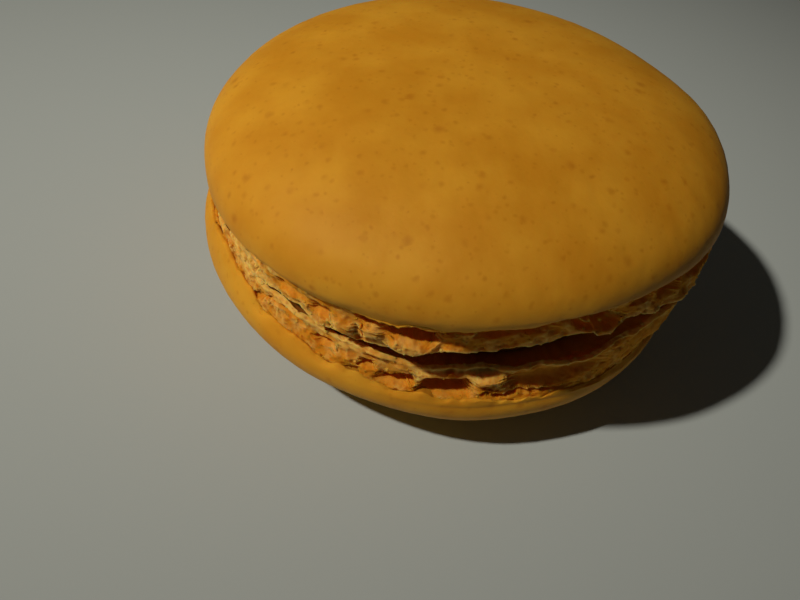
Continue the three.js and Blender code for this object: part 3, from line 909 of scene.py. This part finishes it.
def crumb_tree():
    sizes = {
        "Crumbs per mm2": 1.5, "Smallest": 0.12 * MM, "Largest": 0.42 * MM, "Bedded": 0.25,
        "Dent size": 0.2 * MM, "Dent depth": 0.09 * MM, "Seed": 1,
    }
    tree, given = new_tree("loose crumbs", sizes)
    crumb = add(tree, NAMED, {"Name": "crumb"}, data_type="FLOAT")[0]
    hollow = add(tree, NAMED, {"Name": "hollow"}, data_type="FLOAT")[0]
    shut = add(tree, MATH, {0: 1.0, 1: hollow}, operation="SUBTRACT", use_clamp=True)[0]
    open_face = add(tree, MATH, {0: crumb, 1: shut}, operation="MULTIPLY")[0]
    per_metre = add(tree, MATH, {0: given["Crumbs per mm2"], 1: MM**-2}, operation="MULTIPLY")[0]
    density = add(tree, MATH, {0: open_face, 1: per_metre}, operation="MULTIPLY")[0]
    strewing = {"Mesh": given["Geometry"], "Density": density, "Seed": given["Seed"]}
    strewn = add(tree, "GeometryNodeDistributePointsOnFaces", strewing)

    lump = add(tree, "GeometryNodeMeshUVSphere", {"Segments": 7, "Rings": 4, "Radius": 0.5})["Mesh"]
    drawn = add(tree, RANDOM, {"Min": 0.0, "Max": 1.0, "Seed": given["Seed"]}, data_type="FLOAT")["Value"]
    fine = add(tree, MATH, {0: drawn, 1: 3.0}, operation="POWER")[0]
    span = {"Value": fine, "To Min": given["Smallest"], "To Max": given["Largest"]}
    across = add(tree, "ShaderNodeMapRange", span)[0]
    uneven = {"Min": (0.7, 0.8, 0.6), "Max": (1.2, 1.3, 1.0), "Seed": given["Seed"]}
    shape = add(tree, RANDOM, uneven, data_type="FLOAT_VECTOR")["Value"]
    scale = add(tree, VECTOR, {"Vector": shape, "Scale": across}, operation="SCALE")[0]
    any_way = {"Min": (0.0, 0.0, 0.0), "Max": (6.28, 6.28, 6.28), "Seed": given["Seed"]}
    turn = add(tree, RANDOM, any_way, data_type="FLOAT_VECTOR")["Value"]
    sunk = add(tree, MATH, {0: across, 1: given["Bedded"]}, operation="MULTIPLY")[0]
    inward = add(tree, MATH, {0: sunk, 1: -1.0}, operation="MULTIPLY")[0]
    bed = add(tree, VECTOR, {"Vector": strewn["Normal"], "Scale": inward}, operation="SCALE")[0]
    points = add(tree, "GeometryNodeSetPosition", {"Geometry": strewn["Points"], "Offset": bed})[0]
    copies = {"Points": points, "Instance": lump, "Rotation": turn, "Scale": scale}
    lumps = add(tree, "GeometryNodeInstanceOnPoints", copies)["Instances"]
    whole = add(tree, "GeometryNodeRealizeInstances", {"Geometry": lumps})[0]

    place = add(tree, "GeometryNodeInputPosition")[0]
    dents = add(tree, MATH, {0: 1.0, 1: given["Dent size"]}, operation="DIVIDE")[0]
    wave = add(tree, NOISE, {"Vector": place, "Scale": dents, "Detail": 1.0}, normalize=False)[0]
    depth = add(tree, MATH, {0: wave, 1: given["Dent depth"]}, operation="MULTIPLY")[0]
    normal = add(tree, "GeometryNodeInputNormal")[0]
    push = add(tree, VECTOR, {"Vector": normal, "Scale": depth}, operation="SCALE")[0]
    dented = add(tree, "GeometryNodeSetPosition", {"Geometry": whole, "Offset": push})[0]
    end_tree(tree, dented, given["Material"])
    return tree


# %% [markdown]
# ## Materials
#
# The crust is almond meringue baked slowly: sugar and egg white set to an eggshell skin,
# satin rather than glossy, with ground almond skin showing as small brown flecks. The crumb
# of the foot is the same batter and matt. It is paler where it dried and, as painted light, where
# the key light falls on the lip, on proud crumb and on the side towards it. Pits are painted darker
# and hollows a deeper orange, partly moist crumb and partly painted shade of bounced light, and
# where the seam is pressed shut the crumb is painted dark brown as painted shade. The ganache
# itself is soft and dull, with a faint satin sheen.

# %% Materials of shell and filling
MIX = "ShaderNodeMix"
PRINCIPLED = "ShaderNodeBsdfPrincipled"


def new_material(name):
    made = bpy.data.materials.new(name)
    made.use_nodes = True
    made.node_tree.nodes.clear()
    return made, made.node_tree


# Each layer of flecks: spacing and widest size in mm, strength and tone.
FLECKS = ((0.7, 0.65, 0.4, "#bc7408"), (1.2, 1.0, 0.45, "#b66c08"), (2.6, 1.4, 0.5, "#ae6206"))


def flecks(tree, place, spacing, size):
    """1 in the middle of soft round flecks up to size across, scattered a spacing apart."""
    cells = add(tree, "ShaderNodeTexVoronoi", {"Vector": place, "Scale": 1 / spacing})
    drawn = add(tree, "ShaderNodeSeparateColor", {"Color": cells["Color"]})[0]
    widest = 0.5 * size / spacing
    reach = add(tree, MATH, {0: drawn, 1: widest, 2: 0.01}, operation="MULTIPLY_ADD")[0]
    soft = {"Value": cells["Distance"], "From Min": reach, "From Max": 0.0, "To Min": 0.0, "To Max": 1.0}
    return add(tree, "ShaderNodeMapRange", soft, interpolation_type="SMOOTHSTEP")[0]


def baked_meringue_skin():
    """Piped batter, its sugar set in a slow oven: satin, faintly grained, flecked with almond skin."""
    made, tree = new_material("almond meringue, baked skin")
    place = add(tree, "ShaderNodeTexCoord")["Object"]
    cloud = add(tree, NOISE, {"Vector": place, "Scale": 1 / (5 * MM), "Detail": 4.0})[0]
    cloudy = add(tree, "ShaderNodeMapRange", {"Value": cloud, "From Min": 0.35, "From Max": 0.65})[0]
    tones = {0: cloudy, 6: linear("#d08e1e"), 7: linear("#dc9e2a")}
    colour = add(tree, MIX, tones, data_type="RGBA")[2]
    bends = add(tree, NOISE, {"Vector": place, "Scale": 1 / (0.7 * MM), "Detail": 1.0})["Color"]
    bend = add(tree, VECTOR, {0: bends, 1: (0.4 * MM,) * 3, 2: place}, operation="MULTIPLY_ADD")[0]
    for spacing, size, strength, tone in FLECKS:
        spot = flecks(tree, bend, spacing * MM, size * MM)
        share = add(tree, MATH, {0: spot, 1: strength}, operation="MULTIPLY")[0]
        colour = add(tree, MIX, {0: share, 6: colour, 7: linear(tone)}, data_type="RGBA")[2]
    pores = add(tree, NOISE, {"Vector": place, "Scale": 1 / (0.35 * MM), "Detail": 3.0})[0]
    bump = add(tree, "ShaderNodeBump", {"Height": pores, "Strength": 0.2, "Distance": 0.05 * MM})[0]
    edge = add(tree, "ShaderNodeAttribute", attribute_name="edge")["Fac"]
    dull = {"Value": edge, "From Min": 0.0, "From Max": 1.0, "To Min": 0.6, "To Max": 0.85}
    roughness = add(tree, "ShaderNodeMapRange", dull)[0]
    surface = add(tree, PRINCIPLED, {
        "Base Color": colour, "Roughness": roughness, "Specular IOR Level": 0.45, "Normal": bump,
        "Specular Tint": linear("#ffe6a8"),
        "Subsurface Weight": 0.3, "Subsurface Radius": (1.0, 0.45, 0.12), "Subsurface Scale": 0.9 * MM,
    })[0]
    add(tree, "ShaderNodeOutputMaterial", {"Surface": surface})
    return made


def torn_meringue_crumb():
    """Froth that rose, tore open and dried: matt, and light passes a little way into it."""
    made, tree = new_material("almond meringue, torn crumb")
    place = add(tree, "ShaderNodeTexCoord")["Object"]
    hollow = add(tree, "ShaderNodeAttribute", attribute_name="hollow")["Fac"]
    pit = add(tree, "ShaderNodeAttribute", attribute_name="pit")["Fac"]
    dry_and_lit = add(tree, "ShaderNodeAttribute", attribute_name="dry_and_lit")["Fac"]
    patchy = add(tree, NOISE, {"Vector": place, "Scale": 1 / (1.2 * MM), "Detail": 4.0})[0]
    uneven = add(tree, MATH, {0: patchy, 1: 3.0, 2: -1.5}, operation="MULTIPLY_ADD")[0]
    paled = add(tree, MATH, {0: dry_and_lit, 1: uneven}, operation="ADD", use_clamp=True)[0]
    colour = add(tree, MIX, {0: paled, 6: linear("#d4881c"), 7: linear("#eaba60")}, data_type="RGBA")[2]
    # Pits are painted darker and hollows a deeper orange: partly moist crumb, partly painted shade of light
    # bounced inside them.
    moist_and_shaded = add(tree, MATH, {0: pit, 1: 0.6}, operation="MULTIPLY")[0]
    colour = add(tree, MIX, {0: hollow, 6: colour, 7: linear("#e0962e")}, data_type="RGBA")[2]
    colour = add(tree, MIX, {0: moist_and_shaded, 6: colour, 7: linear("#bc6e14")}, data_type="RGBA")[2]
    # Painted shade: dark brown on crumb behind the lip where the seam is pressed shut.
    seam_shade = add(tree, MATH, {0: hollow, 1: 1.0}, operation="SUBTRACT", use_clamp=True)[0]
    colour = add(tree, MIX, {0: seam_shade, 6: colour, 7: linear("#8a4e18")}, data_type="RGBA")[2]
    pores = add(tree, NOISE, {"Vector": place, "Scale": 1 / (0.12 * MM), "Detail": 3.0})[0]
    bump = add(tree, "ShaderNodeBump", {"Height": pores, "Strength": 0.4, "Distance": 0.06 * MM})[0]
    surface = add(tree, PRINCIPLED, {
        "Base Color": colour, "Roughness": 0.85, "Specular IOR Level": 0.08, "Normal": bump,
        "Subsurface Weight": 0.7, "Subsurface Radius": (1.0, 0.55, 0.2), "Subsurface Scale": 0.7 * MM,
    })[0]
    add(tree, "ShaderNodeOutputMaterial", {"Surface": surface})
    return made


def soft_ganache():
    """Stirred smooth and pressed flat between the shells: dull, faintly smeared."""
    made, tree = new_material("ganache, soft and satin")
    place = add(tree, "ShaderNodeTexCoord")["Object"]
    cloud = add(tree, NOISE, {"Vector": place, "Scale": 1 / (1.5 * MM), "Detail": 3.0})[0]
    colour = add(tree, MIX, {0: cloud, 6: linear("#84501e"), 7: linear("#9a642a")}, data_type="RGBA")[2]
    smears = add(tree, NOISE, {"Vector": place, "Scale": 1 / (0.4 * MM), "Detail": 2.0})[0]
    bump = add(tree, "ShaderNodeBump", {"Height": smears, "Strength": 0.3, "Distance": 0.08 * MM})[0]
    satin = {"Base Color": colour, "Roughness": 0.55, "Specular IOR Level": 0.2, "Normal": bump}
    surface = add(tree, PRINCIPLED, satin)[0]
    add(tree, "ShaderNodeOutputMaterial", {"Surface": surface})
    return made


skin_finish = baked_meringue_skin()
crumb_finish = torn_meringue_crumb()
ganache.data.materials.append(soft_ganache())
ganache.data.shade_smooth()
print("finishes:", skin_finish.name, "/", crumb_finish.name, "/", ganache.data.materials[0].name)

# %% Give the crusts and feet their relief and put them in place
crust_relief = crust_relief_tree()
foot_froth = foot_relief_tree()
strewing = crumb_tree()
crumbs = []
for shell, crust, foot in zip((upper_shell, lower_shell), crusts, feet):
    crust.data = run_tree(crust, crust_relief, {"Seed": float(shell.seed), "Material": skin_finish})
    foot.data = run_tree(foot, foot_froth, {"Seed": float(shell.seed), "Material": crumb_finish})
    loose = new_piece("crumbs_" + shell.name, foot.data)
    loose.data = run_tree(loose, strewing, {"Seed": shell.seed, "Material": crumb_finish})
    crumbs.append(loose)
    for piece in (crust, foot, loose):
        put_in_place(piece, shell.turn, shell.place)
put_in_place(ganache, np.eye(3), (0, 0, 0))

# %% [markdown]
# ## Floor, light and background
#
# A plain pale surface, one narrow key light from the front left, 47 degrees above it, and a
# weak even background that opens the shadows.

# %% Floor
FLOOR_SIDE = 1.6


def matt_paper():
    """Uncoated pressed pulp: pale and without shine."""
    made, tree = new_material("paper, matt")
    surface = add(tree, PRINCIPLED, {"Base Color": linear("#b1bcc1"), "Roughness": 0.9})[0]
    add(tree, "ShaderNodeOutputMaterial", {"Surface": surface})
    return made


half = FLOOR_SIDE / 2
floor_mesh = bpy.data.meshes.new("floor")
corners = [(-half, -half, 0), (half, -half, 0), (half, half, 0), (-half, half, 0)]
floor_mesh.from_pydata(corners, [], [(0, 1, 2, 3)])
floor_mesh.materials.append(matt_paper())
new_piece("floor", floor_mesh)
print("floor side in m:", FLOOR_SIDE)

# %% Lights
KEY = Sizes(
    azimuth=212.1, height=46.8, distance=1.5, width=0.07, power=0.0685, spread=11, colour="#fff3de",
    aim=(-20, 4, 0),
)
ROOM_COLOUR = "#f0e6d0"
ROOM_STRENGTH = 0.025

key_data = bpy.data.lights.new("key", "AREA")
key_data.shape = "DISK"
key_data.size = KEY.width
key_data.energy = KEY.power
key_data.spread = math.radians(KEY.spread)
key_data.color = linear(KEY.colour)[:3]
key = bpy.data.objects.new("key", key_data)
around = math.radians(KEY.azimuth)
above = math.radians(KEY.height)
level_share = math.cos(above)
towards = Vector((math.cos(around) * level_share, math.sin(around) * level_share, math.sin(above)))
key.location = towards * KEY.distance + Vector(AXIS) + Vector(KEY.aim) * MM
key.rotation_mode = "QUATERNION"
key.rotation_quaternion = towards.to_track_quat("Z", "Y")
bpy.context.scene.collection.objects.link(key)

room = bpy.data.worlds.new("room")
room.use_nodes = True
room.node_tree.nodes["Background"].inputs["Color"].default_value = linear(ROOM_COLOUR)
room.node_tree.nodes["Background"].inputs["Strength"].default_value = ROOM_STRENGTH
bpy.context.scene.world = room
bpy.context.scene.view_settings.view_transform = "Standard"
print("key light in m:", [round(c, 3) for c in key.location])

# %% [markdown]
# ## Handing over
#
# Every piece rides on the one body, and the imported solid that it stands for is hidden.

# %% Ride and replace
STANDS_FOR = {
    "shell_top": (crusts[0], feet[0], crumbs[0]),
    "shell_bottom": (crusts[1], feet[1], crumbs[1]),
    "filling": (ganache,),
}
for node, pieces in STANDS_FOR.items():
    for piece in pieces:
        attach(piece, "root")
        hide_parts(node)
